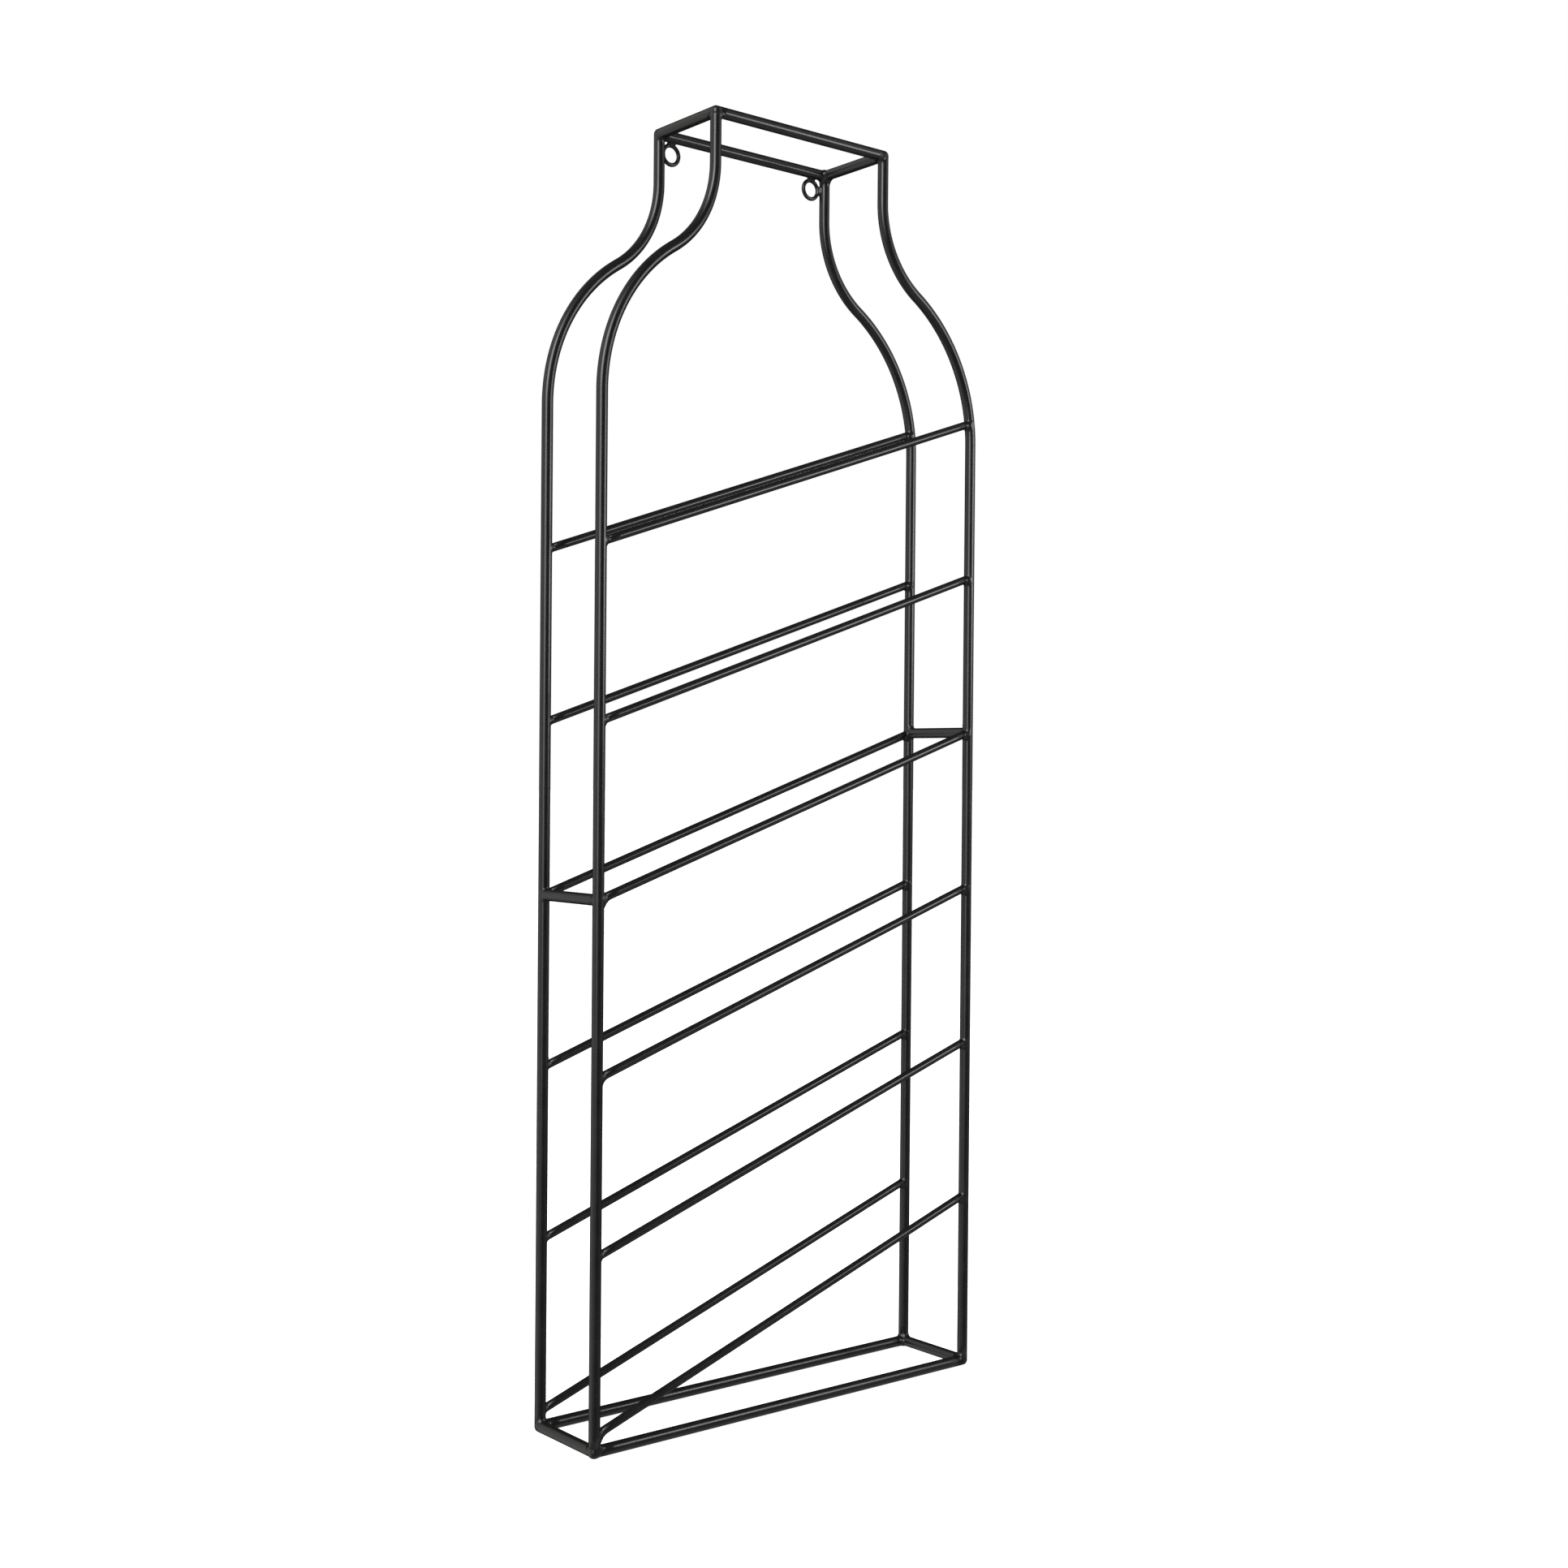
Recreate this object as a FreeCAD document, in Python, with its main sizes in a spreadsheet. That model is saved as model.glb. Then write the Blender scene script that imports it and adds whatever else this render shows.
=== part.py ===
import FreeCAD, Part
import os
import Sketcher
from math import atan2, pi

# A wall wine rack in the outline of a bottle, welded from round steel rod. Two bottle-shaped frames,
# front and back, are held apart by six spacers. Slanted shelf bars in pairs, one in each frame, carry
# one bottle per level, and two small rings on the back frame hang the rack on the wall.
#
# Frame of the model: +X to the right seen from the front, +Y towards the wall, +Z up, in millimetres.
# The origin is at the middle of the footprint, on the surface that the bottom rails stand on.

# Driving dimensions: alias, value, meaning.
SIZES = [
    ("outer_width", 350, "width over the side rods"),
    ("outer_depth", 75, "depth over the front and back frames"),
    ("outer_height", 920, "height over the rods"),
    ("neck_width", 164, "width over the rods at the neck"),
    ("neck_length", 35, "straight neck, from the top rail's centre line down to the shoulder"),
    ("shoulder_radius", 125, "outward curve of the shoulder, at the rod's centre line"),
    ("throat_radius", 76, "inward curve between shoulder and neck, at the rod's centre line"),
    ("rod_dia", 8, "rod of the frames and spacers"),
    ("end_rounding", 3.4, "rounding ground on the ends of the side rods"),
    ("bar_dia", 6, "rod of the shelf bars"),
    ("level_count", 6, "number of shelf levels"),
    ("first_level", 10.5, "left end of the lowest bars above the bottom rails' centre line"),
    ("top_lap", 17, "right end of the top bars above the start of the shoulder"),
    ("bar_rise", 117.5, "right end of every bar above its left end"),
    ("spacer_level", 4, "level, from the bottom, whose bar ends the middle spacers join"),
    ("eyelet_hole_dia", 11, "hole through each hanging ring"),
    ("eyelet_wire_dia", 3, "wire of the hanging rings"),
    ("eyelet_land", 0.1, "depth reamed off the inside of the ring, which leaves a round hole wall"),
    ("eyelet_gap", 0.2, "root gap between ring and rods, bridged by the weld"),
    ("bar_weld_share", 0.975, "bead at the end of a bar, as a share of the frame rod's diameter"),
    ("bar_weld_sag", 0.2, "middle of such a bead below the bar's centre line, as a share of the same"),
    ("corner_weld_share", 0.875, "bead in a corner between three rods, as a share of the same"),
    ("corner_weld_proud", 0.3, "middle of a corner bead beyond the rods' skins, along each axis"),
    ("eyelet_weld_dia", 4.8, "bead between a ring and a rod"),
]

# Values worked out from the driving dimensions: alias, formula, meaning.
LAYOUT = [
    ("rod_radius", "=Sizes.rod_dia / 2", "rod of the frames"),
    ("bar_radius", "=Sizes.bar_dia / 2", "rod of the shelf bars"),
    ("side_x", "=(Sizes.outer_width - Sizes.rod_dia) / 2", "centre line of the straight sides"),
    ("neck_x", "=(Sizes.neck_width - Sizes.rod_dia) / 2", "centre line of the neck"),
    ("frame_y", "=(Sizes.outer_depth - Sizes.rod_dia) / 2", "plane of the back frame"),
    ("base_z", "=rod_radius", "centre line of the bottom rails"),
    ("top_z", "=Sizes.outer_height - rod_radius", "centre line of the top rails"),
    ("neck_start", "=top_z - Sizes.neck_length", "foot of the straight neck"),
    ("arc_sum", "=Sizes.shoulder_radius + Sizes.throat_radius", "distance between the arcs' centres"),
    ("arc_offset", "=arc_sum - (side_x - neck_x)", "the same distance measured along X"),
    ("shoulder_start", "=neck_start - sqrt(arc_sum ^ 2 - arc_offset ^ 2)", "top of the straight side"),
    ("first_z", "=base_z + Sizes.first_level", "left end of the lowest bars"),
    ("last_z", "=shoulder_start + Sizes.top_lap - Sizes.bar_rise", "left end of the top bars"),
    ("pitch", "=(last_z - first_z) / (Sizes.level_count - 1)", "from one level to the next"),
    ("bar_length", "=sqrt((2 * side_x) ^ 2 + Sizes.bar_rise ^ 2)", "bar between the side rods' axes"),
    ("bar_slope", "=atan(Sizes.bar_rise / (2 * side_x))", "a bar against the horizontal"),
    ("bar_weld_radius", "=Sizes.bar_weld_share * rod_radius", "bead at the end of a bar"),
    ("bar_weld_drop", "=Sizes.bar_weld_sag * Sizes.rod_dia", "its middle below the bar's axis"),
    ("corner_weld_radius", "=Sizes.corner_weld_share * rod_radius", "bead in a corner of the rack"),
    ("eyelet_weld_radius", "=Sizes.eyelet_weld_dia / 2", "bead between a ring and a rod"),
    ("wire_radius", "=Sizes.eyelet_wire_dia / 2", "wire of the rings"),
    ("ring_radius", "=Sizes.eyelet_hole_dia / 2 - Sizes.eyelet_land + wire_radius", "wire's centre line"),
    ("ring_y", "=frame_y + rod_radius - wire_radius", "rings lie flush with the frame's back"),
    ("ring_reach", "=rod_radius + wire_radius + Sizes.eyelet_gap", "rod's axis to the nearest wire"),
    ("ring_inset", "=ring_radius + sqrt(ring_reach ^ 2 - (ring_y - frame_y) ^ 2)", "ring in the corner"),
    ("ring_x", "=neck_x - ring_inset", "centre of the right ring"),
    ("ring_z", "=top_z - ring_inset", "centre of both rings"),
]

UP = FreeCAD.Vector(0, 0, 1)
ALONG_X = FreeCAD.Rotation(FreeCAD.Vector(0, 1, 0), 90)
ALONG_Y = FreeCAD.Rotation(FreeCAD.Vector(1, 0, 0), -90)
HALF_TURN = FreeCAD.Rotation(UP, 180)
NO_TURN = FreeCAD.Rotation()
SIDES = {"left": -1, "right": 1}
FRAMES = {"front": -1, "back": 1}

# Which point of a line or arc a sketch constraint holds, the sketch's horizontal axis and its origin.
START, END, CENTRE = 1, 2, 3
AXIS = -1
ORIGIN = (AXIS, START)

doc = FreeCAD.newDocument("wine_rack")
sub_parts = []


def make_sheet(name, rows):
    """A spreadsheet with one named value per row and its meaning beside it."""
    sheet = doc.addObject("Spreadsheet::Sheet", name)
    for row, (alias, value, meaning) in enumerate(rows, start=1):
        sheet.set(f"A{row}", meaning)
        sheet.set(f"B{row}", str(value))
        sheet.setAlias(f"B{row}", alias)
        doc.recompute()
    return sheet


def signed(sign, alias):
    """An expression for a layout value on one side of the middle plane."""
    return f"{sign} * Layout.{alias}"


def place(item, x, y, z, rotation=NO_TURN):
    """Turn an object and tie its position to the sheets."""
    item.Placement = FreeCAD.Placement(FreeCAD.Vector(), rotation)
    for axis, expression in zip("xyz", (x, y, z)):
        item.setExpression(f"Placement.Base.{axis}", expression)


def keep(item, label):
    """Name a finished sub-part and put it on the list of parts to write."""
    item.Label = label
    sub_parts.append(item)
    return item


def rod(name, radius, length, x, y, z, rotation):
    """A straight round rod that starts at a point and runs along its turned Z axis."""
    cylinder = doc.addObject("Part::Cylinder", f"{name}_stock")
    cylinder.setExpression("Radius", radius)
    cylinder.setExpression("Height", length)
    place(cylinder, x, y, z, rotation)
    return cylinder


def bead(name, radius, x, y, z):
    """A drop of weld metal before the rods that it joins are taken out of it."""
    ball = doc.addObject("Part::Sphere", f"{name}_drop")
    ball.setExpression("Radius", radius)
    place(ball, x, y, z)
    return ball


def cope(name, stock, neighbours):
    """Shape a piece to the neighbours that it meets by cutting each of them out of it."""
    shaped = stock
    for neighbour in neighbours:
        cut = doc.addObject("Part::Cut", f"{name}_coped")
        cut.Base = shaped
        cut.Tool = neighbour
        shaped = cut
    return shaped


def stock_of(piece):
    """The whole rod, ring or drop that a coped piece was cut from."""
    while piece.TypeId == "Part::Cut":
        piece = piece.Base
    return piece


def group(label, pieces):
    """Several separate solids of one kind as one sub-part."""
    compound = doc.addObject("Part::Compound", label)
    compound.Links = pieces
    return keep(compound, label)


def origin_plane(body, role):
    """One of the body's own origin planes."""
    return next(feature for feature in body.Origin.OriginFeatures if feature.Role == role)


def new_sketch(body, name, role):
    """An empty sketch on one of the body's origin planes."""
    sketch = body.newObject("Sketcher::SketchObject", name)
    sketch.AttachmentSupport = [(origin_plane(body, role), "")]
    sketch.MapMode = "FlatFace"
    return sketch


def drive(sketch, constraint, name, expression):
    """Add a dimension to a sketch and tie it to the sheets."""
    index = sketch.addConstraint(constraint)
    sketch.renameConstraint(index, name)
    sketch.setExpression(f"Constraints.{name}", expression)


def outline_sketch(body):
    """The right half of the bottle outline: straight side, shoulder arc, throat arc and neck."""
    sketch = new_sketch(body, "outline", "XZ_Plane")
    side_x, neck_x = layout.side_x, layout.neck_x
    shoulder_start, neck_start = layout.shoulder_start, layout.neck_start
    shoulder_radius, throat_radius = sizes.shoulder_radius, sizes.throat_radius
    turn = atan2(neck_start - shoulder_start, layout.arc_offset)
    shoulder_centre = FreeCAD.Vector(side_x - shoulder_radius, shoulder_start)
    throat_centre = FreeCAD.Vector(neck_x + throat_radius, neck_start)

    side = sketch.addGeometry(Part.LineSegment(
        FreeCAD.Vector(side_x, 0), FreeCAD.Vector(side_x, shoulder_start)))
    shoulder = sketch.addGeometry(Part.ArcOfCircle(
        Part.Circle(shoulder_centre, UP, shoulder_radius), 0, turn))
    throat = sketch.addGeometry(Part.ArcOfCircle(
        Part.Circle(throat_centre, UP, throat_radius), pi, pi + turn))
    neck = sketch.addGeometry(Part.LineSegment(
        FreeCAD.Vector(neck_x, neck_start), FreeCAD.Vector(neck_x, sizes.outer_height)))

    sketch.addConstraint(Sketcher.Constraint("Tangent", side, END, shoulder, START))
    sketch.addConstraint(Sketcher.Constraint("Tangent", shoulder, END, throat, END))
    sketch.addConstraint(Sketcher.Constraint("Tangent", throat, START, neck, START))
    sketch.addConstraint(Sketcher.Constraint("Vertical", side))
    sketch.addConstraint(Sketcher.Constraint("Vertical", neck))
    sketch.addConstraint(Sketcher.Constraint("PointOnObject", side, START, AXIS))
    drive(sketch, Sketcher.Constraint("Radius", shoulder, shoulder_radius),
          "shoulder_radius", "Sizes.shoulder_radius")
    drive(sketch, Sketcher.Constraint("Radius", throat, throat_radius),
          "throat_radius", "Sizes.throat_radius")
    drive(sketch, Sketcher.Constraint("DistanceX", *ORIGIN, side, START, side_x),
          "side_x", "Layout.side_x")
    drive(sketch, Sketcher.Constraint("DistanceX", *ORIGIN, neck, END, neck_x),
          "neck_x", "Layout.neck_x")
    drive(sketch, Sketcher.Constraint("DistanceY", *ORIGIN, neck, END, sizes.outer_height),
          "height", "Sizes.outer_height")
    drive(sketch, Sketcher.Constraint("DistanceY", *ORIGIN, neck, START, neck_start),
          "neck_start", "Layout.neck_start")
    return sketch


def section_sketch(body):
    """The rod's round section at the foot of the straight side."""
    sketch = new_sketch(body, "section", "XY_Plane")
    circle = sketch.addGeometry(Part.Circle(
        FreeCAD.Vector(layout.side_x, 0), UP, layout.rod_radius))
    sketch.addConstraint(Sketcher.Constraint("PointOnObject", circle, CENTRE, AXIS))
    drive(sketch, Sketcher.Constraint("DistanceX", *ORIGIN, circle, CENTRE, layout.side_x),
          "side_x", "Layout.side_x")
    drive(sketch, Sketcher.Constraint("Radius", circle, layout.rod_radius),
          "rod_radius", "Layout.rod_radius")
    return sketch


def end_edges(shape):
    """Names of the two round edges at the flat ends of a side rod."""
    ends = (0, sizes.outer_height)
    flat = 1e-4
    return [f"Edge{index}" for index, edge in enumerate(shape.Edges, start=1)
            if edge.BoundBox.ZLength < flat
            and any(abs(edge.BoundBox.ZMin - end) < flat for end in ends)]


def side_rod(frame, side):
    """One bent rod, from the foot of the rack up the side and shoulder to the top of the neck.

    The four are bent alike. The left ones are turned half round, and a frame needs no other change.
    """
    label = f"{frame}_{side}_side_rod"
    body = doc.addObject("PartDesign::Body", label)
    outline = outline_sketch(body)
    section = section_sketch(body)
    doc.recompute()
    bent = body.newObject("PartDesign::AdditivePipe", "bent_rod")
    bent.Profile = section
    bent.Spine = outline
    doc.recompute()
    rounded = body.newObject("PartDesign::Fillet", "ground_ends")
    rounded.Base = (bent, end_edges(bent.Shape))
    rounded.setExpression("Radius", "Sizes.end_rounding")
    body.Tip = rounded
    turned = HALF_TURN if side == "left" else NO_TURN
    place(body, "0", signed(FRAMES[frame], "frame_y"), "0", turned)
    return keep(body, label)


def rail(frame, level, half_length, height, rods):
    """A straight rod across a frame, coped to the side rods at both ends."""
    label = f"{frame}_{level}_rail"
    stock = rod(label, "Layout.rod_radius", f"2 * Layout.{half_length}",
                signed(-1, half_length), signed(FRAMES[frame], "frame_y"), f"Layout.{height}", ALONG_X)
    return keep(cope(label, stock, rods), label)


def end_height(side, level):
    """Height of one end of a level's bars on the axis of the side rod, levels counted from 1."""
    left_end = f"Layout.first_z + {level - 1} * Layout.pitch"
    return left_end if side == "left" else f"{left_end} + Sizes.bar_rise"


def shelf_bar(frame, level, rods):
    """One slanted bar of a level, coped to the side rods. It rises to the right."""
    label = f"{frame}_shelf_bar_{level}"
    stock = rod(label, "Layout.bar_radius", "Layout.bar_length", signed(-1, "side_x"),
                signed(FRAMES[frame], "frame_y"), end_height("left", level), ALONG_X)
    stock.setExpression("Placement.Rotation.Angle", "90 deg - Layout.bar_slope")
    return keep(cope(label, stock, rods), label)


def spacer(label, x, z, neighbours):
    """A straight rod from the front frame to the back frame, coped to all that it meets."""
    stock = rod(label, "Layout.rod_radius", "2 * Layout.frame_y", x, "-Layout.frame_y", z, ALONG_Y)
    return keep(cope(label, stock, neighbours), label)


def hanging_eyelet(side):
    """A wire ring in the upper corner of the neck, its hole reamed round for a wall screw."""
    label = f"{side}_hanging_eyelet"
    ring = doc.addObject("Part::Torus", f"{label}_ring")
    ring.setExpression("Radius1", "Layout.ring_radius")
    ring.setExpression("Radius2", "Layout.wire_radius")
    place(ring, signed(SIDES[side], "ring_x"), "Layout.ring_y", "Layout.ring_z", ALONG_Y)
    reamer = rod(label, "Sizes.eyelet_hole_dia / 2", "2 * Sizes.eyelet_wire_dia",
                 signed(SIDES[side], "ring_x"), "Layout.ring_y - Sizes.eyelet_wire_dia",
                 "Layout.ring_z", ALONG_Y)
    return keep(cope(label, ring, [reamer]), label)


def bar_weld(frame, side, level, neighbours):
    """The bead in which the end of a shelf bar sits, thickest below the bar."""
    name = f"{frame}_{side}_bar_weld_{level}"
    sign = SIDES[side]
    drop = bead(name, "Layout.bar_weld_radius",
                f"{sign} * (Layout.side_x - Layout.rod_radius * cos(Layout.bar_slope))",
                signed(FRAMES[frame], "frame_y"),
                f"{end_height(side, level)} - {sign} * Layout.rod_radius * sin(Layout.bar_slope)"
                " - Layout.bar_weld_drop")
    return cope(name, drop, neighbours)


def corner_weld(name, frame, side, x_line, height, upwards, neighbours):
    """The bead in an inner corner between an upright, a rod across the frame and a spacer.

    Its middle lies just beyond the point where the skins of three such rods meet, above the joint
    or, with upwards at -1, below it.
    """
    into_rack = "(Layout.rod_radius / sqrt(2) + Sizes.corner_weld_proud)"
    drop = bead(name, "Layout.corner_weld_radius",
                f"{SIDES[side]} * (Layout.{x_line} - {into_rack})",
                f"{FRAMES[frame]} * (Layout.frame_y - {into_rack})",
                f"{height} + {upwards} * {into_rack}")
    return cope(name, drop, neighbours)


def eyelet_welds(side, side_rod_piece, rail_piece, ring):
    """Two beads that hold a ring: one to the neck of the side rod, one to the top rail."""
    sign = SIDES[side]
    depth = "Layout.frame_y + (Layout.rod_radius - Layout.wire_radius) / 2"
    beside = bead(f"{side}_ring_side_weld", "Layout.eyelet_weld_radius",
                  f"{sign} * (Layout.neck_x - Layout.rod_radius)", depth, "Layout.ring_z")
    above = bead(f"{side}_ring_top_weld", "Layout.eyelet_weld_radius",
                 signed(sign, "ring_x"), depth, "Layout.top_z - Layout.rod_radius")
    wire = stock_of(ring)
    return [cope(f"{side}_ring_side_weld", beside, [side_rod_piece, wire]),
            cope(f"{side}_ring_top_weld", above, [stock_of(rail_piece), wire])]


def build_rack():
    """All sub-parts, in the order in which they are coped to one another."""
    rods = {frame: {side: side_rod(frame, side) for side in SIDES} for frame in FRAMES}
    doc.recompute()
    levels = range(1, int(sizes.level_count) + 1)
    spacer_level = int(sizes.spacer_level)
    rails = {}
    bars = {}
    for frame in FRAMES:
        pair = list(rods[frame].values())
        rails[frame, "bottom"] = rail(frame, "bottom", "side_x", "base_z", pair)
        rails[frame, "top"] = rail(frame, "top", "neck_x", "top_z", pair)
        for level in levels:
            bars[frame, level] = shelf_bar(frame, level, pair)
        doc.recompute()

    ends = {"bottom": ("side_x", "base_z"), "top": ("neck_x", "top_z")}
    middle_heights = {side: end_height(side, spacer_level) for side in SIDES}
    spacers = {}
    for side, sign in SIDES.items():
        side_pair = [rods[frame][side] for frame in FRAMES]
        for level, (x_line, z_line) in ends.items():
            neighbours = side_pair + [rails[frame, level] for frame in FRAMES]
            spacers[side, level] = spacer(f"{level}_{side}_spacer", signed(sign, x_line),
                                          f"Layout.{z_line}", neighbours)
        neighbours = side_pair + [bars[frame, spacer_level] for frame in FRAMES]
        spacers[side, "middle"] = spacer(f"middle_{side}_spacer", signed(sign, "side_x"),
                                         middle_heights[side], neighbours)
    doc.recompute()
    eyelets = {side: hanging_eyelet(side) for side in SIDES}

    away_from_bar = {"left": -1, "right": 1}
    into_frame = {"bottom": 1, "top": -1}
    spacer_beads = []
    corner_beads = {level: [] for level in ends}
    for frame in FRAMES:
        for side in SIDES:
            upright = rods[frame][side]
            middle_joint = [upright, stock_of(bars[frame, spacer_level]),
                            stock_of(spacers[side, "middle"])]
            beads = {level: bar_weld(frame, side, level, [upright, stock_of(bars[frame, level])])
                     for level in levels if level != spacer_level}
            beads[spacer_level] = bar_weld(frame, side, spacer_level, middle_joint)
            group(f"{frame}_{side}_bar_welds", list(beads.values()))
            spacer_beads.append(corner_weld(
                f"{frame}_{side}_spacer_weld", frame, side, "side_x", middle_heights[side],
                away_from_bar[side], middle_joint + [stock_of(beads[spacer_level])]))
            for level, (x_line, z_line) in ends.items():
                joint = [upright, stock_of(rails[frame, level]), stock_of(spacers[side, level])]
                if level == "bottom" and side == "left":
                    joint += [stock_of(bars[frame, 1]), stock_of(beads[1])]
                corner_beads[level].append(corner_weld(
                    f"{frame}_{side}_{level}_weld", frame, side, x_line, f"Layout.{z_line}",
                    into_frame[level], joint))
            doc.recompute()
    group("middle_spacer_welds", spacer_beads)
    for level, beads in corner_beads.items():
        group(f"{level}_corner_welds", beads)
    group("eyelet_welds", [
        weld for side in SIDES
        for weld in eyelet_welds(side, rods["back"][side], rails["back", "top"], eyelets[side])])
    doc.recompute()


def check_and_write():
    """Stop on a failed or empty object, then write each sub-part to its own STEP file."""
    failed = [item.Name for item in doc.Objects if {"Invalid", "Error"} & set(item.State)]
    if failed:
        raise RuntimeError(f"objects failed to rebuild: {failed}")
    for item in sub_parts:
        if item.Shape.isNull() or not item.Shape.isValid() or not item.Shape.Solids:
            raise RuntimeError(f"{item.Label} has no valid solid")
    os.makedirs("parts", exist_ok=True)
    for item in sub_parts:
        item.Shape.exportStep(os.path.join("parts", f"{item.Label}.step"))
        solids = len(item.Shape.Solids)
        print(f"{item.Label}: {solids} solid(s), {item.Shape.Volume:.1f} mm3")


sizes = make_sheet("Sizes", SIZES)
layout = make_sheet("Layout", LAYOUT)
build_rack()
check_and_write()
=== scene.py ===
import math

import bmesh
import bpy
import numpy as np
from mathutils import Matrix, Vector


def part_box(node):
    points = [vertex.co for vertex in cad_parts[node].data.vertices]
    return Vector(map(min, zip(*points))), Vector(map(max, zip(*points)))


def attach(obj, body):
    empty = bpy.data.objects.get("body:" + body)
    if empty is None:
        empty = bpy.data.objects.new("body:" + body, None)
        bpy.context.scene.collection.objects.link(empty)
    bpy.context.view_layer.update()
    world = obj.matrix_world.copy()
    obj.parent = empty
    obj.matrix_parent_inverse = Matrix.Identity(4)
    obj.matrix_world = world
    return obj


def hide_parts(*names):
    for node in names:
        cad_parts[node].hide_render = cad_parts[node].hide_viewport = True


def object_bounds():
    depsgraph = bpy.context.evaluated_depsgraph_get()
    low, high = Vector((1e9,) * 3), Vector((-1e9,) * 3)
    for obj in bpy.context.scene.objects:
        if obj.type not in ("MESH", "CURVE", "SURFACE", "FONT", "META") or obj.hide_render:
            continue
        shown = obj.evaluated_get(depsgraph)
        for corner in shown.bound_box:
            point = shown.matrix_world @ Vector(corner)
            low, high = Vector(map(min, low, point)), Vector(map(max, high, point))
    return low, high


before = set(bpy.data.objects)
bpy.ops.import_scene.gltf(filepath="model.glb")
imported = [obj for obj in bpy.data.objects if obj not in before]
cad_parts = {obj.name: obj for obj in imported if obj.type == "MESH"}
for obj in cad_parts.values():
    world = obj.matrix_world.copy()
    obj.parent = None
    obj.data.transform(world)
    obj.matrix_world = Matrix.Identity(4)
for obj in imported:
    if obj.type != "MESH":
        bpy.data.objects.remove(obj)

# Wine rack in satin black powder coat. The CAD rods give the places and radii. Here each becomes a finely
# rounded rod, and each weld becomes one smooth skin of coated weld metal over the joint.

MM = 0.001
CAD_LOW, CAD_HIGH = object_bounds()
BOX_LOW, BOX_HIGH = np.array(CAD_LOW), np.array(CAD_HIGH)

ROD = 4.0 * MM              # radius of the frame rods
BAR = 3.0 * MM              # radius of the shelf bars
WIRE = 1.5 * MM             # radius of the hanging rings' wire
SHY = 0.03 * MM             # rods lie this far inside their CAD skins, so that the welds can stand proud
MARGIN = 0.005 * MM         # weld skins stay this far inside the CAD box
SHOULDER = 125 * MM         # outward curve of the shoulder, at the rod's centre line
THROAT = 76 * MM            # inward curve between shoulder and neck
NECK = 35 * MM              # straight top end of the side rods
LEVELS = 6
SPACER_LEVEL = 4
SIDES = {"left": -1, "right": 1}
FRAMES = {"front": -1, "back": 1}

UP = np.array([0.0, 0.0, 1.0])
ALONG_Y = np.array([0.0, 1.0, 0.0])
WHITE = (1, 1, 1)


def corners(node):
    low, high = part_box(node)
    return np.array(low), np.array(high)


def middle_z(node):
    low, high = corners(node)
    return (low[2] + high[2]) / 2


# Centre lines of the rods.
SIDE_X = corners("front_right_side_rod")[1][0] - ROD
NECK_X = corners("front_right_side_rod")[0][0] + ROD
FRAME_Y = corners("back_right_side_rod")[1][1] - ROD
BASE_Z = CAD_LOW[2] + ROD
TOP_Z = CAD_HIGH[2] - ROD
RING_LOW, RING_HIGH = corners("right_hanging_eyelet")
RING_CENTRE = (RING_LOW + RING_HIGH) / 2
RING_RADIUS = (RING_HIGH[0] - RING_LOW[0]) / 2 - WIRE

# The shoulder's two arcs meet with one tangent. They start at these heights.
ARC_REACH = SHOULDER + THROAT
ARC_RISE = math.sqrt(ARC_REACH ** 2 - (ARC_REACH - SIDE_X + NECK_X) ** 2)
NECK_Z = TOP_Z - NECK
SHOULDER_Z = NECK_Z - ARC_RISE

# The middle spacers stand at the ends of the fourth bars, and all levels are alike.
PITCH = corners("front_shelf_bar_2")[0][2] - corners("front_shelf_bar_1")[0][2]
RISE = middle_z("middle_right_spacer") - middle_z("middle_left_spacer")


def end_z(side, level):
    """Height of the left or right end of a level's bars, on the axis of the side rod."""
    return middle_z(f"middle_{side}_spacer") + (level - SPACER_LEVEL) * PITCH


# ---------------------------------------------------------------- mesh helpers

def new_piece(name, verts, faces, material, node_names):
    mesh = bpy.data.meshes.new(name)
    mesh.from_pydata([tuple(v) for v in verts], [], [tuple(int(i) for i in f) for f in faces])
    mesh.validate()
    mesh.shade_smooth()
    mesh.materials.append(material)
    piece = bpy.data.objects.new(name, mesh)
    bpy.context.scene.collection.objects.link(piece)
    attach(piece, "root")
    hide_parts(*node_names)
    return piece


def tube(path, radius, sides=40, closed=False):
    """Vertices and faces of a round rod along a path of points."""
    path = np.asarray(path, float)
    count = len(path)
    if closed:
        tangent = np.roll(path, -1, 0) - np.roll(path, 1, 0)
    else:
        tangent = np.gradient(path, axis=0)
    tangent /= np.linalg.norm(tangent, axis=1)[:, None]
    side_dir = ALONG_Y
    if abs(tangent[0] @ side_dir) > 0.9:
        side_dir = np.array([1.0, 0.0, 0.0])
    first = side_dir - tangent * (tangent @ side_dir)[:, None]
    first /= np.linalg.norm(first, axis=1)[:, None]
    second = np.cross(tangent, first)
    angles = (np.arange(sides) * 2 * math.pi / sides)[None, :, None]
    ring = np.cos(angles) * first[:, None] + np.sin(angles) * second[:, None]
    verts = (path[:, None] + radius * ring).reshape(-1, 3)
    faces = []
    for i in range(count if closed else count - 1):
        a, b = i * sides, ((i + 1) % count) * sides
        for j in range(sides):
            k = (j + 1) % sides
            faces.append((a + j, a + k, b + k, b + j))
    if not closed:
        faces.append(tuple(range(sides - 1, -1, -1)))
        last = (count - 1) * sides
        faces.append(tuple(range(last, last + sides)))
    return verts, faces


def straight(start, end, count=24):
    start, end = np.array(start), np.array(end)
    return [start + (end - start) * t for t in np.linspace(0, 1, count)]


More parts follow.
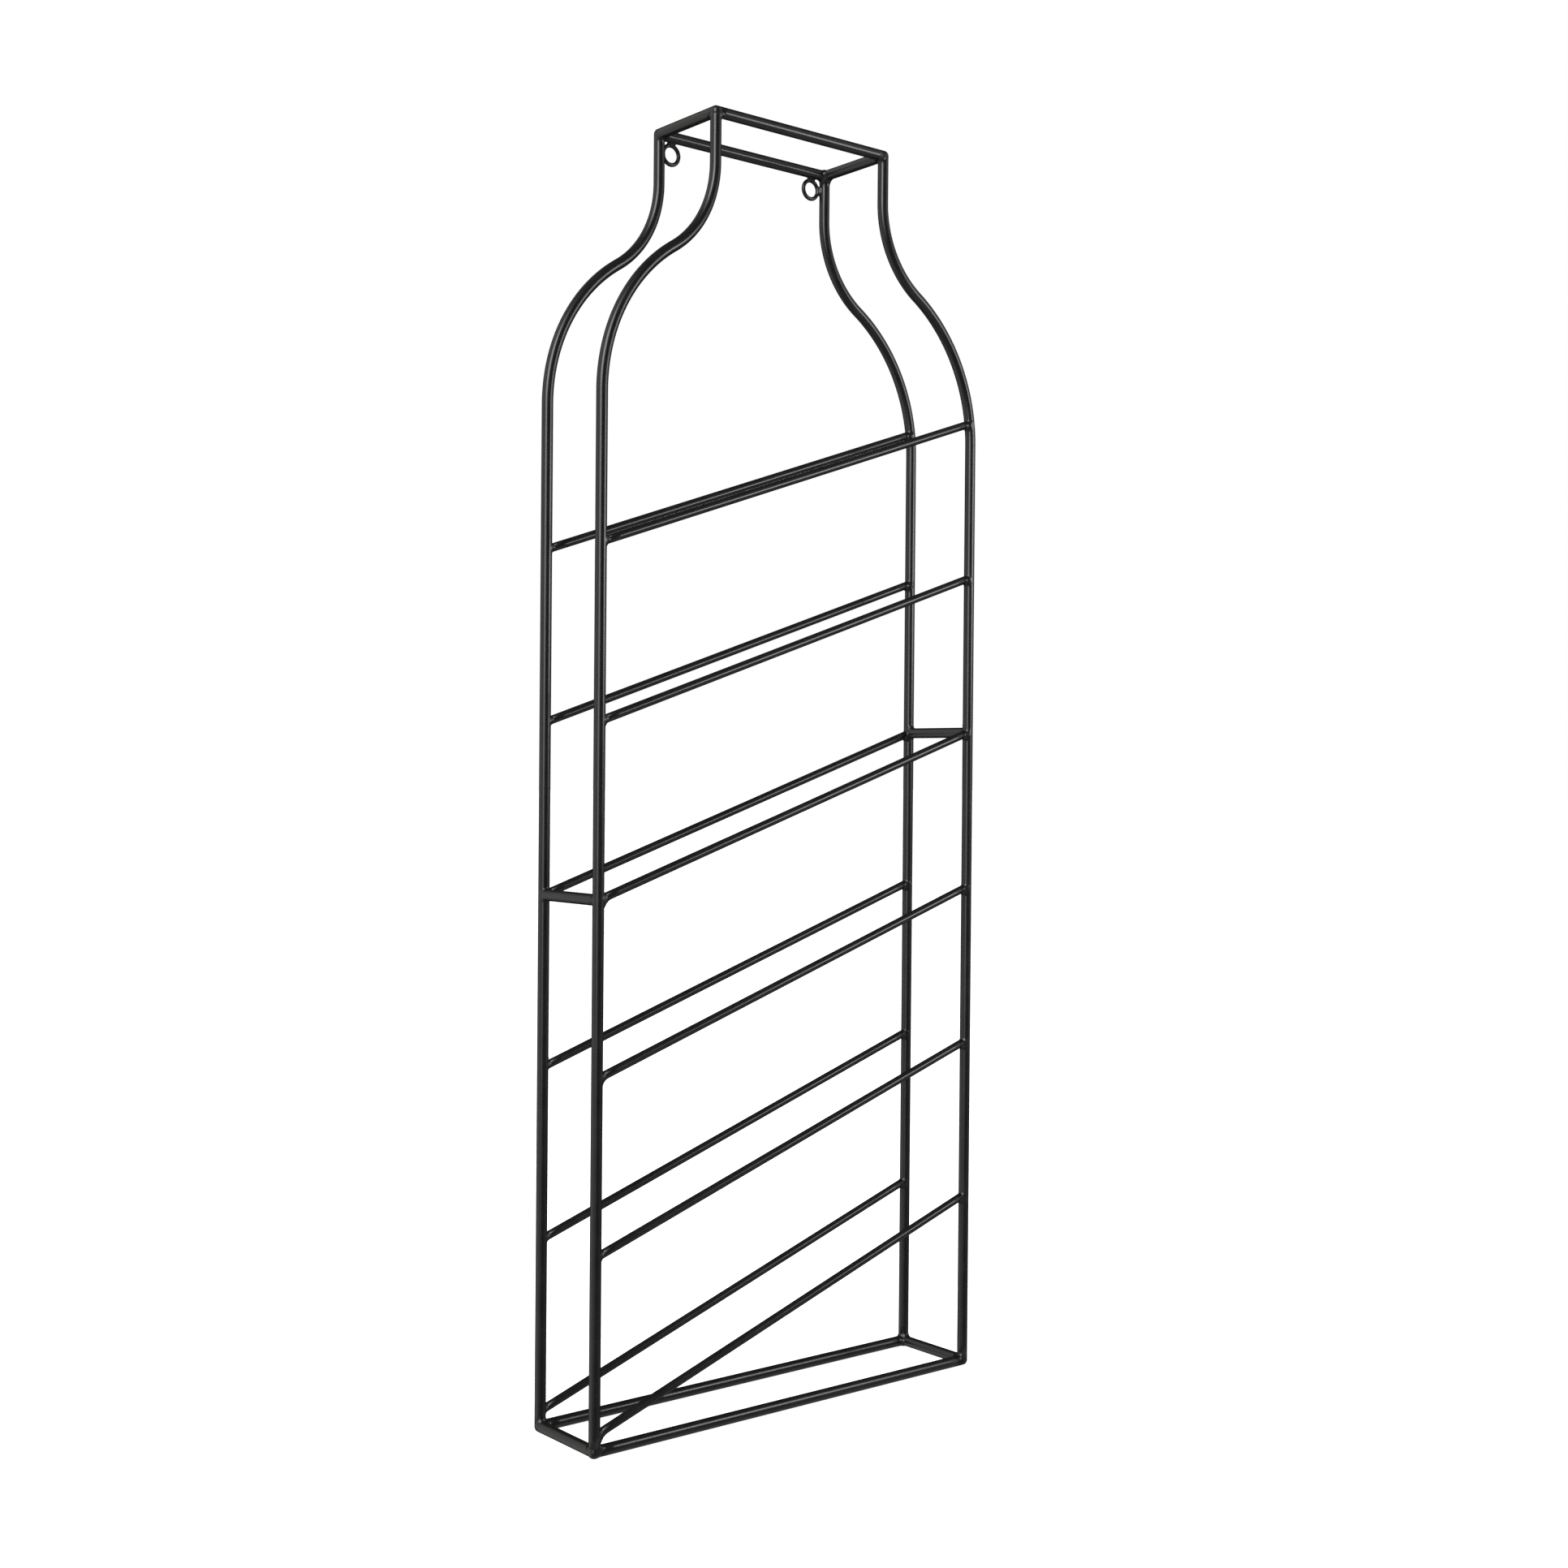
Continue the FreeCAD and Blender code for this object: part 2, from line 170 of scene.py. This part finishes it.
def gather(parts):
    """One vertex list and one face list from several."""
    verts, faces, start = [], [], 0
    for part_verts, part_faces in parts:
        verts.append(np.asarray(part_verts))
        faces.extend(tuple(int(i) + start for i in f) for f in part_faces)
        start += len(part_verts)
    return np.concatenate(verts), faces


# ---------------------------------------------------------------- distances to the rods

def near(points, rod):
    """Distance from each point to a rod's axis, and the nearest points on that axis."""
    start, end = rod[:2]
    run = end - start
    share = np.clip((points - start) @ run / (run @ run), 0, 1)
    foot = start + share[:, None] * run
    return np.linalg.norm(points - foot, axis=1), foot


def shoulder_lean(z):
    """How far the side rods' centre lines have turned inward at a height on the outward curve."""
    return SHOULDER - np.sqrt(SHOULDER ** 2 - np.maximum(z - SHOULDER_Z, 0) ** 2)


def side_rod_at(sign, y):
    """Distance to the surface of a side rod, from the foot to the end of the shoulder's outward curve."""
    def gap(points):
        out = sign * points[:, 0] - (SIDE_X - SHOULDER)
        above = np.maximum(points[:, 2] - SHOULDER_Z, 0)
        return np.hypot(np.hypot(out, above) - SHOULDER, points[:, 1] - y) - (ROD - SHY)
    return gap


def gap_to(points, rod):
    """Distance to a rod's surface.

    A rod is a function that gives this distance, or (start, end, radius), or (start, end, radius, rim)
    where its start is flat with a rounded rim.
    """
    if callable(rod):
        return rod(points)
    start, end, radius = rod[:3]
    if len(rod) == 3:
        return near(points, rod)[0] - radius
    rim = rod[3]
    axis = (end - start) / np.linalg.norm(end - start)
    share = (points - start) @ axis
    across = np.linalg.norm(points - start - share[:, None] * axis, axis=1) - (radius - rim)
    beyond = -share - (radius - rim)
    rounded = np.hypot(np.maximum(across, 0), np.maximum(beyond, 0))
    return np.minimum(np.maximum(across, beyond), 0) + rounded - rim


def past_box(points):
    """How far points are past the CAD box less its margin. It is negative inside."""
    return np.maximum(BOX_LOW - points, points - BOX_HIGH).max(1) + MARGIN


# ---------------------------------------------------------------- weld skins

STEP = 0.3 * MM     # grid of the weld skins
ARM = 30 * MM               # length of each rod that a joint takes into account
PROUD = 0.04 * MM           # weld metal over the rods' skins
GROWTH = 3.3 * MM           # a fillet grows to its full leg over this length
LEAST_LEG = 0.01 * MM       # where there is no fillet
DIVE = (0.1 * MM, 1.3 * MM)     # past its fillet, a skin dives under the rods between these distances
DIVE_DEPTH = 0.35 * MM
SKIN_END = 1.5 * MM         # and ends here, unseen
AT_JOINT = -0.3 * MM        # start of a fillet on the inner side of a joint

# How far each bar's weld runs down the left uprights, from the lowest level up.
FRONT_LEFT_RUNS = [length * MM for length in (7.2, 1.8, 4.6, 6.8, 3.0, 2.4)]

# Fillet legs at the bar ends, least and most in mm, the place along the bar where they start, and the
# number of spatter drops above the bar, least and one past the most.
BAR_FILLETS = {
    "left": {"below": (0.9, 1.6), "above": (0.6, 1.1), "beside": (1.8, 2.6),
             "start": AT_JOINT, "drops": (0, 2)},
    "right": {"below": (2.6, 3.8), "above": (0.6, 1.0), "beside": (2.0, 2.8),
              "start": -2.2 * MM, "drops": (1, 4)},
}
DROP_TURN = 0.9             # drops lie this far round the upright from the bar, in radians
DROP_HEIGHT = (3.8, 6.5)
DROP_RADIUS = (0.35, 0.65)

SPACER_LEG = 1.5 * MM       # between upright and middle spacer
WEB = 1.6 * MM              # the same on top, and between bar and middle spacer
BACK_RIGHT_WEB = 3.4 * MM
CORNER_LEGS = (2.4, 3.6)
BIG_CORNER_LEG = 5.0 * MM   # under the right top spacer at the back
FOOT_RIM = 3.0 * MM         # rim of the front left foot, ground rounder than flat
FOOT_LEG = 0.9 * MM         # fillets all round that foot
ALL_ROUND = -9 * MM
BAR_BUMPS, CORNER_BUMPS, RING_BUMPS = 0.10 * MM, 0.05 * MM, 0.05 * MM


def pick(rng, limits):
    """A random length between two limits in mm."""
    return rng.uniform(*limits) * MM


def soft_min(a, b, leg):
    """The lower of two distances, joined by a concave fillet of this leg."""
    overlap = np.maximum(leg - np.abs(a - b), 0) / leg
    return np.minimum(a, b) - overlap * overlap * leg / 4


def step_between(x, low, high):
    t = np.clip((x - low) / (high - low), 0, 1)
    return t * t * (3 - 2 * t)


def waves(seed, length, count=9):
    """A smooth bumpy function of place, from -1 to 1, with bumps of about the given length."""
    rng = np.random.default_rng(seed)
    direction = rng.normal(size=(count, 3))
    direction /= np.linalg.norm(direction, axis=1)[:, None]
    direction *= (2 * math.pi / (length * rng.uniform(0.7, 1.5, count)))[:, None]
    phase = rng.uniform(0, 2 * math.pi, count)
    return lambda p: np.sin(p @ direction.T + phase).sum(1) / count * 1.8


def weld_field(joint, rods, fillets, seed, bumps, drops=()):
    """Implicit skin over rods that meet at a joint.

    A fillet is (first rod, second rod, leg function, directions, start). It lies only where the place is
    past the start along all its directions, so the outer side keeps the plain round of the rods.
    """
    bumpy = waves(seed, 2.4 * MM)

    def field(points):
        gaps = [gap_to(points, rod) for rod in rods]
        ordered = np.sort(np.stack(gaps), axis=0)
        body, second = ordered[0], ordered[1]
        size = np.zeros(len(points))
        for first, other, leg_of, directions, start in fillets:
            inward = np.min([(points - joint) @ d for d in directions], axis=0)
            leg = leg_of(points) * step_between(inward, start, start + GROWTH) + LEAST_LEG
            body = np.minimum(body, soft_min(gaps[first], gaps[other], leg))
            size = np.maximum(size, leg)
        proud = PROUD + bumps * bumpy(points)
        proud = proud * (1 - step_between(second, 0.3 * size, size))
        proud = proud * step_between(size, 0.3 * MM, 1.5 * MM)
        sunk = step_between(second, size + DIVE[0], size + DIVE[1])
        skin = body - proud * (1 - sunk) + DIVE_DEPTH * sunk
        for centre, radius in drops:
            skin = soft_min(skin, np.linalg.norm(points - centre, axis=1) - radius, 0.5 * MM)
        skin = np.maximum(skin, second - (size + SKIN_END))
        return np.maximum(skin, past_box(points))

    return field


def isosurface(field, centre, reach, step):
    """Closed quad mesh of field = 0 (negative inside) in a cube round a centre."""
    axis = np.arange(-reach, reach + step, step)
    n = len(axis)
    grid = np.stack(np.meshgrid(axis, axis, axis, indexing="ij"), -1) + centre
    values = field(grid.reshape(-1, 3)).reshape(n, n, n)
    inside = values < 0

    # One vertex in each cell that the surface crosses.
    total = np.zeros((n - 1,) * 3, int)
    for i in (0, 1):
        for j in (0, 1):
            for k in (0, 1):
                total += inside[i:n - 1 + i, j:n - 1 + j, k:n - 1 + k]
    active = (total > 0) & (total < 8)
    ids = np.full(active.shape, -1)
    ids[active] = np.arange(active.sum())
    cells = np.argwhere(active)
    verts = grid[cells[:, 0], cells[:, 1], cells[:, 2]] + step / 2

    # Each vertex moves onto the surface down the field's slope, half a cell at most at a time.
    for _ in range(5):
        value = field(verts)
        slope = np.zeros_like(verts)
        for a in range(3):
            shift = np.zeros(3)
            shift[a] = step * 0.2
            slope[:, a] = (field(verts + shift) - field(verts - shift)) / (0.4 * step)
        size = np.maximum((slope ** 2).sum(1), 0.05)
        move = -(value / size)[:, None] * slope
        length = np.linalg.norm(move, axis=1)
        limit = np.minimum(1, 0.5 * step / np.maximum(length, 1e-12))
        verts = verts + move * limit[:, None]

    # One quad across each grid edge that the surface crosses.
    faces = []
    for a in range(3):
        u, v = (a + 1) % 3, (a + 2) % 3
        lower, upper = inside.take(range(0, n - 1), a), inside.take(range(1, n), a)
        for state in (True, False):
            edges = np.argwhere((lower != upper) & (lower == state))
            within = (edges[:, [u, v]] > 0) & (edges[:, [u, v]] < n - 1)
            edges = edges[within.all(1)]
            loop = []
            for du, dv in ((-1, -1), (0, -1), (0, 0), (-1, 0)):
                cell = edges.copy()
                cell[:, u] += du
                cell[:, v] += dv
                loop.append(ids[cell[:, 0], cell[:, 1], cell[:, 2]])
            quads = np.stack(loop, 1)
            faces.append(quads if state else quads[:, ::-1])
    return verts, np.concatenate(faces)


def even_leg(size):
    return lambda points: np.full(len(points), size)


def bar_end_weld(frame_name, side, level):
    sign, front = SIDES[side], FRAMES[frame_name]
    joint = np.array([sign * SIDE_X, front * FRAME_Y, end_z(side, level)])
    axis = np.array([2 * SIDE_X, 0, RISE])
    axis /= np.linalg.norm(axis)
    along_bar = -sign * axis
    bar = (joint, joint + along_bar * ARM, BAR - SHY)
    rods = [side_rod_at(sign, joint[1]), bar]
    rng = np.random.default_rng(1000 * level + 10 * (sign + 1) + front + 1)
    legs = BAR_FILLETS[side]
    if (frame_name, side) == ("front", "left"):
        below = FRONT_LEFT_RUNS[level - 1]
    else:
        below = pick(rng, legs["below"])
    above = pick(rng, legs["above"])
    beside = pick(rng, legs["beside"])
    normal = np.cross(axis, ALONG_Y)
    normal = normal if normal[2] > 0 else -normal

    def bar_leg(points):
        _, foot = near(points, bar)
        away = points - foot
        height = away @ normal / np.maximum(np.linalg.norm(away, axis=1), 1e-9)
        down = np.clip(-height, 0, 1) ** 1.3
        up = np.clip(height, 0, 1)
        return beside + (below - beside) * down + (above - beside) * up

    fillets = [(0, 1, bar_leg, [along_bar], legs["start"])]
    if level == SPACER_LEVEL:
        along_spacer = -ALONG_Y * front
        rods.append((joint, joint + along_spacer * ARM, ROD - SHY))
        web = BACK_RIGHT_WEB if (frame_name, side) == ("back", "right") else WEB

        def spacer_leg(points):
            higher = step_between(points[:, 2] - joint[2], 0, ROD)
            return SPACER_LEG + (web - SPACER_LEG) * higher

        fillets.append((0, 2, spacer_leg, [along_spacer], AT_JOINT))
        fillets.append((1, 2, even_leg(WEB), [along_bar, along_spacer], AT_JOINT))

    drops = []
    for _ in range(int(rng.integers(*legs["drops"]))):
        turn = rng.uniform(-DROP_TURN, DROP_TURN)
        out = np.array([-sign * math.cos(turn), math.sin(turn), 0])
        place = joint + out * (ROD - 0.1 * MM) + UP * pick(rng, DROP_HEIGHT)
        place[0] -= sign * shoulder_lean(place[2])
        drops.append((place, pick(rng, DROP_RADIUS)))
    centre = joint - np.array([sign * 4 * MM, 0, 2 * MM])
    field = weld_field(joint, rods, fillets, int(rng.integers(1, 10000)), BAR_BUMPS, drops)
    return isosurface(field, centre, 12.5 * MM, STEP)


def corner_weld(frame_name, side, level):
    sign, front = SIDES[side], FRAMES[frame_name]
    x, z, inward = (SIDE_X, BASE_Z, 1) if level == "bottom" else (NECK_X, TOP_Z, -1)
    joint = np.array([sign * x, front * FRAME_Y, z])
    ways = [UP * inward, np.array([-sign, 0.0, 0.0]), -ALONG_Y * front]
    rods = [(joint, joint + way * ARM, ROD - SHY) for way in ways]
    rng = np.random.default_rng(7000 + 100 * inward + 10 * sign + front)
    fillets = []
    for first, other in ((0, 1), (0, 2), (1, 2)):
        leg = pick(rng, CORNER_LEGS)
        if (frame_name, side, level, first, other) == ("back", "right", "top", 0, 2):
            leg = BIG_CORNER_LEG
        fillets.append((first, other, even_leg(leg), [ways[first], ways[other]], AT_JOINT))
    if (frame_name, side, level) == ("front", "left", "bottom"):
        rods[0] = (*rods[0], FOOT_RIM)
        for other in (1, 2):
            fillets.append((0, other, even_leg(FOOT_LEG), [ways[other]], ALL_ROUND))
    field = weld_field(joint, rods, fillets, int(rng.integers(1, 10000)), CORNER_BUMPS)
    return isosurface(field, joint, 12 * MM, STEP)


def ring_weld(side, kind):
    """Weld between a hanging ring and the side rod beside it or the top rail above it."""
    sign = SIDES[side]
    centre = RING_CENTRE * np.array([sign, 1, 1])
    if kind == "side":
        middle = np.array([sign * NECK_X, FRAME_Y, centre[2]])
        run, toward_ring = UP, np.array([-sign, 0, 0])
    else:
        middle = np.array([centre[0], FRAME_Y, TOP_Z])
        run, toward_ring = np.array([1.0, 0.0, 0.0]), -UP
    rod = (middle - run * ARM, middle + run * ARM, ROD - SHY)
    touch = middle + toward_ring * ROD + ALONG_Y * 1.6 * MM
    bumpy = waves(31 + sign + (5 if kind == "side" else 0), 2.0 * MM)

    def field(points):
        flat = points - centre
        from_wire = np.hypot(flat[:, 0], flat[:, 2]) - RING_RADIUS
        wire_gap = np.hypot(from_wire, flat[:, 1]) - (WIRE - SHY)
        body = soft_min(gap_to(points, rod), wire_gap, 3.2 * MM) - PROUD - RING_BUMPS * bumpy(points)
        far = np.linalg.norm(points - touch, axis=1)
        body = body + 0.5 * MM * step_between(far, 2.6 * MM, 4.2 * MM)
        return np.maximum(np.maximum(body, far - 4.6 * MM), past_box(points))

    return isosurface(field, touch, 5.5 * MM, STEP * 0.8)


# ---------------------------------------------------------------- materials

def powder_coat(name, base, rough, peel):
    """Satin coat with slight clouds of shade and gloss, and orange peel of the given depth."""
    material = bpy.data.materials.new(name)
    material.use_nodes = True
    tree = material.node_tree
    shader = tree.nodes["Principled BSDF"]
    shader.inputs["Specular IOR Level"].default_value = 0.5
    shader.inputs["IOR"].default_value = 1.5
    shader.inputs["Coat Weight"].default_value = 0.0

    def node(kind, **values):
        made = tree.nodes.new(kind)
        for key, value in values.items():
            made.inputs[key].default_value = value
        return made

    place = node("ShaderNodeTexCoord").outputs["Object"]

    def noise(scale, detail, roughness=0.5):
        made = node("ShaderNodeTexNoise", Scale=scale, Detail=detail, Roughness=roughness)
        tree.links.new(place, made.inputs["Vector"])
        return made.outputs["Fac"]

    def bump(height, distance, below=None):
        made = node("ShaderNodeBump", Strength=1.0, Distance=distance)
        tree.links.new(height, made.inputs["Height"])
        if below is not None:
            tree.links.new(below, made.inputs["Normal"])
        return made.outputs["Normal"]

    shade = node("ShaderNodeValToRGB")
    for stop, position, factor in zip(shade.color_ramp.elements, (0.3, 0.7), (0.8, 1.3)):
        stop.position = position
        stop.color = (*[c * factor for c in base], 1)
    tree.links.new(noise(45, 5), shade.inputs["Fac"])
    tree.links.new(shade.outputs["Color"], shader.inputs["Base Color"])

    sheen = node("ShaderNodeMapRange", **{"From Min": 0.3, "From Max": 0.7,
                                          "To Min": rough - 0.02, "To Max": rough + 0.025})
    tree.links.new(noise(90, 3), sheen.inputs["Value"])
    tree.links.new(sheen.outputs["Result"], shader.inputs["Roughness"])

    orange_peel = bump(noise(480, 2, 0.45), peel)
    tree.links.new(bump(noise(2800, 2), peel * 0.12, orange_peel), shader.inputs["Normal"])
    return material


BLACK = (0.0066, 0.0064, 0.0064)
ROD_COAT = powder_coat("satin_black_coat", BLACK, 0.26, 0.008 * MM)
WELD_COAT = powder_coat("satin_black_weld", BLACK, 0.28, 0.02 * MM)


# ---------------------------------------------------------------- the rods

def side_path():
    """Points along the right side rod's centre line in the frame's plane, from foot to top."""
    turn = math.atan2(ARC_RISE, ARC_REACH - SIDE_X + NECK_X)
    points = [(SIDE_X, BASE_Z + t * (SHOULDER_Z - BASE_Z)) for t in np.linspace(0, 1, 60)[:-1]]
    points += [(SIDE_X - SHOULDER + SHOULDER * math.cos(a), SHOULDER_Z + SHOULDER * math.sin(a))
               for a in np.linspace(0, turn, 60)[:-1]]
    points += [(NECK_X + THROAT - THROAT * math.cos(a), NECK_Z - THROAT * math.sin(a))
               for a in np.linspace(turn, 0, 40)[:-1]]
    points += [(NECK_X, NECK_Z + t * (TOP_Z - NECK_Z)) for t in np.linspace(0, 1, 10)]
    return points


def new_rod(name, path, radius, node_name, **options):
    verts, faces = tube(path, radius - SHY, **options)
    new_piece(name, verts, faces, ROD_COAT, [node_name])


def new_weld(name, parts, node_names):
    verts, faces = gather(parts)
    new_piece(name, verts, faces, WELD_COAT, node_names)


for frame_name, front in FRAMES.items():
    y = front * FRAME_Y
    for side, sign in SIDES.items():
        path = [(sign * x, y, z) for x, z in side_path()]
        new_rod(f"{frame_name}_{side}_side_coated", path, ROD, f"{frame_name}_{side}_side_rod")
    for level, half, z in (("bottom", SIDE_X, BASE_Z), ("top", NECK_X, TOP_Z)):
        path = straight((-half, y, z), (half, y, z))
        new_rod(f"{frame_name}_{level}_rail_coated", path, ROD, f"{frame_name}_{level}_rail")
    for level in range(1, LEVELS + 1):
        path = straight((-SIDE_X, y, end_z("left", level)), (SIDE_X, y, end_z("right", level)))
        new_rod(f"{frame_name}_bar_{level}_coated", path, BAR, f"{frame_name}_shelf_bar_{level}")

for side, sign in SIDES.items():
    for level, x, z in (("bottom", SIDE_X, BASE_Z), ("middle", SIDE_X, end_z(side, SPACER_LEVEL)),
                        ("top", NECK_X, TOP_Z)):
        path = straight((sign * x, -FRAME_Y, z), (sign * x, FRAME_Y, z))
        new_rod(f"{level}_{side}_spacer_coated", path, ROD, f"{level}_{side}_spacer")
    centre = RING_CENTRE * np.array([sign, 1, 1])
    path = [centre + RING_RADIUS * np.array([math.cos(a), 0, math.sin(a)])
            for a in np.linspace(0, 2 * math.pi, 97)[:-1]]
    new_rod(f"{side}_ring_coated", path, WIRE, f"{side}_hanging_eyelet", sides=28, closed=True)

# ---------------------------------------------------------------- the welds

for frame_name in FRAMES:
    for side in SIDES:
        replaced = [f"{frame_name}_{side}_bar_welds"]
        if (frame_name, side) == ("front", "left"):
            replaced.append("middle_spacer_welds")
        new_weld(f"{frame_name}_{side}_bar_weld_skins",
                 [bar_end_weld(frame_name, side, level) for level in range(1, LEVELS + 1)], replaced)
for level in ("bottom", "top"):
    new_weld(f"{level}_corner_weld_skins",
             [corner_weld(frame_name, side, level) for frame_name in FRAMES for side in SIDES],
             [f"{level}_corner_welds"])
new_weld("ring_weld_skins", [ring_weld(side, kind) for side in SIDES for kind in ("side", "top")],
         ["eyelet_welds"])

# ---------------------------------------------------------------- floor

FLOOR_HALF = 30             # metres from the middle to an edge

floor_mesh = bpy.data.meshes.new("floor")
build = bmesh.new()
bmesh.ops.create_grid(build, x_segments=8, y_segments=8, size=FLOOR_HALF)
build.to_mesh(floor_mesh)
build.free()
floor = bpy.data.objects.new("floor", floor_mesh)
bpy.context.scene.collection.objects.link(floor)

# Pale paper, which glows a little for the camera so that it runs into the white behind the rack.
paper = bpy.data.materials.new("studio_floor")
paper.use_nodes = True
paper_tree = paper.node_tree
paper_shader = paper_tree.nodes["Principled BSDF"]
paper_shader.inputs["Base Color"].default_value = (0.85, 0.85, 0.85, 1)
paper_shader.inputs["Roughness"].default_value = 0.9
paper_shader.inputs["Specular IOR Level"].default_value = 0.1
paper_shader.inputs["Emission Color"].default_value = (*WHITE, 1)
paper_seen = paper_tree.nodes.new("ShaderNodeLightPath")
paper_glow = paper_tree.nodes.new("ShaderNodeMath")
paper_glow.operation = "MULTIPLY"
paper_glow.inputs[1].default_value = 0.75
paper_tree.links.new(paper_seen.outputs["Is Camera Ray"], paper_glow.inputs[0])
paper_tree.links.new(paper_glow.outputs[0], paper_shader.inputs["Emission Strength"])
floor_mesh.materials.append(paper)
floor.visible_glossy = False

# ---------------------------------------------------------------- studio light

world = bpy.data.worlds.new("studio")
bpy.context.scene.world = world
world.use_nodes = True
sky = world.node_tree
sky.nodes.clear()


def sky_node(kind, **values):
    made = sky.nodes.new(kind)
    for key, value in values.items():
        setattr(made, key, value)
    return made


toward = sky_node("ShaderNodeTexCoord").outputs["Generated"]


def math_node(operation, *values):
    made = sky_node("ShaderNodeMath", operation=operation)
    for socket, value in zip(made.inputs, values):
        if isinstance(value, (int, float)):
            socket.default_value = value
        else:
            sky.links.new(value, socket)
    return made.outputs["Value"]


def along(direction):
    """How far the seen direction points along another one, from -1 to 1."""
    dot = sky_node("ShaderNodeVectorMath", operation="DOT_PRODUCT")
    sky.links.new(toward, dot.inputs[0])
    dot.inputs[1].default_value = direction
    return dot.outputs["Value"]


def soft_step(value, start, end):
    """0 up to start, 1 from end on, either way round."""
    soft = sky_node("ShaderNodeMapRange", interpolation_type="SMOOTHSTEP")
    soft.inputs["From Min"].default_value = start
    soft.inputs["From Max"].default_value = end
    sky.links.new(value, soft.inputs["Value"])
    return soft.outputs["Result"]


def background(colour, strength):
    patch = sky_node("ShaderNodeBackground")
    patch.inputs["Color"].default_value = (*colour, 1)
    if isinstance(strength, (int, float)):
        patch.inputs["Strength"].default_value = strength
    else:
        sky.links.new(strength, patch.inputs["Strength"])
    return patch.outputs["Background"]


def glow(azimuth, elevation, inner, outer, colour, strength):
    """A round soft patch of light, full within the inner angle and gone at the outer one (degrees)."""
    turn, lift = math.radians(azimuth), math.radians(elevation)
    centre = (math.cos(turn) * math.cos(lift), math.sin(turn) * math.cos(lift), math.sin(lift))
    patch = soft_step(along(centre), math.cos(math.radians(outer)), math.cos(math.radians(inner)))
    return background(colour, math_node("MULTIPLY", patch, strength))


def panel(azimuth, inner, outer, bottom, top, colour, strength):
    """An upright soft panel of light, with half widths in degrees.

    Its bottom and top edges are (gone, full) heights on a unit sphere.
    """
    turn = math.radians(azimuth)
    sideways = math_node("ABSOLUTE", along((-math.sin(turn), math.cos(turn), 0)))
    across = soft_step(sideways, math.sin(math.radians(outer)), math.sin(math.radians(inner)))
    ahead = soft_step(along((math.cos(turn), math.sin(turn), 0)), 0.0, 0.3)
    height = along((0, 0, 1))
    lit = math_node("MULTIPLY", soft_step(height, *bottom), soft_step(height, *top))
    lit = math_node("MULTIPLY", lit, math_node("MULTIPLY", across, ahead))
    return background(colour, math_node("MULTIPLY", lit, strength))


WARM, COOL = (1, 0.975, 0.95), (0.96, 0.99, 1)

studio = background(WHITE, 0.035)
for patch in (
        panel(azimuth=214, inner=5, outer=21, bottom=(-0.28, 0.42), top=(0.85, 0.6),
              colour=WHITE, strength=8.5),
        panel(azimuth=151, inner=29, outer=47, bottom=(-1.0, -0.5), top=(1.0, 0.6),
              colour=WARM, strength=0.82),
        panel(azimuth=331, inner=12, outer=28, bottom=(-0.30, 0.15), top=(0.8, 0.45),
              colour=COOL, strength=0.75),
        glow(azimuth=310, elevation=-60, inner=15, outer=60, colour=WHITE, strength=0.35)):
    joined = sky_node("ShaderNodeAddShader")
    sky.links.new(studio, joined.inputs[0])
    sky.links.new(patch, joined.inputs[1])
    studio = joined.outputs["Shader"]

# The camera sees plain white behind the rack. The rods reflect the panels.
choose = sky_node("ShaderNodeMixShader")
sky.links.new(sky_node("ShaderNodeLightPath").outputs["Is Camera Ray"], choose.inputs["Fac"])
sky.links.new(studio, choose.inputs[1])
sky.links.new(background(WHITE, 1.0), choose.inputs[2])
sky.links.new(choose.outputs["Shader"], sky_node("ShaderNodeOutputWorld").inputs["Surface"])


def softbox(name, place, target, width, height, power):
    data = bpy.data.lights.new(name, "AREA")
    data.shape = "RECTANGLE"
    data.size, data.size_y = width, height
    data.energy = power
    lamp = bpy.data.objects.new(name, data)
    lamp.location = place
    lamp.rotation_euler = (Vector(target) - Vector(place)).to_track_quat("-Z", "Y").to_euler()
    lamp.visible_camera = False
    bpy.context.scene.collection.objects.link(lamp)
    return lamp


overhead = softbox("overhead", place=(0.3, -0.4, 3.2), target=(0, 0, 0), width=2.5, height=2.5, power=50)
overhead.visible_glossy = False
softbox("right", place=(0.85, -1.06, 0.76), target=(0, 0, 0.6), width=0.56, height=0.42, power=5.7)

# ---------------------------------------------------------------- camera

camera_data = bpy.data.cameras.new("camera")
camera = bpy.data.objects.new("camera", camera_data)
bpy.context.scene.collection.objects.link(camera)
camera_place = (-0.91806, -1.14047, 0.46195)
right = Vector((0.7739, -0.633254, 0.008282)).normalized()
forward = Vector((0.633307, 0.773855, -0.00836)).normalized()
up = right.cross(forward).normalized()
camera.matrix_world = Matrix((*zip(right, up, -forward, camera_place), (0, 0, 0, 1)))
camera_data.sensor_width = 36
camera_data.lens = 45.9
bpy.context.scene.camera = camera
bpy.context.scene.view_settings.view_transform = "Standard"
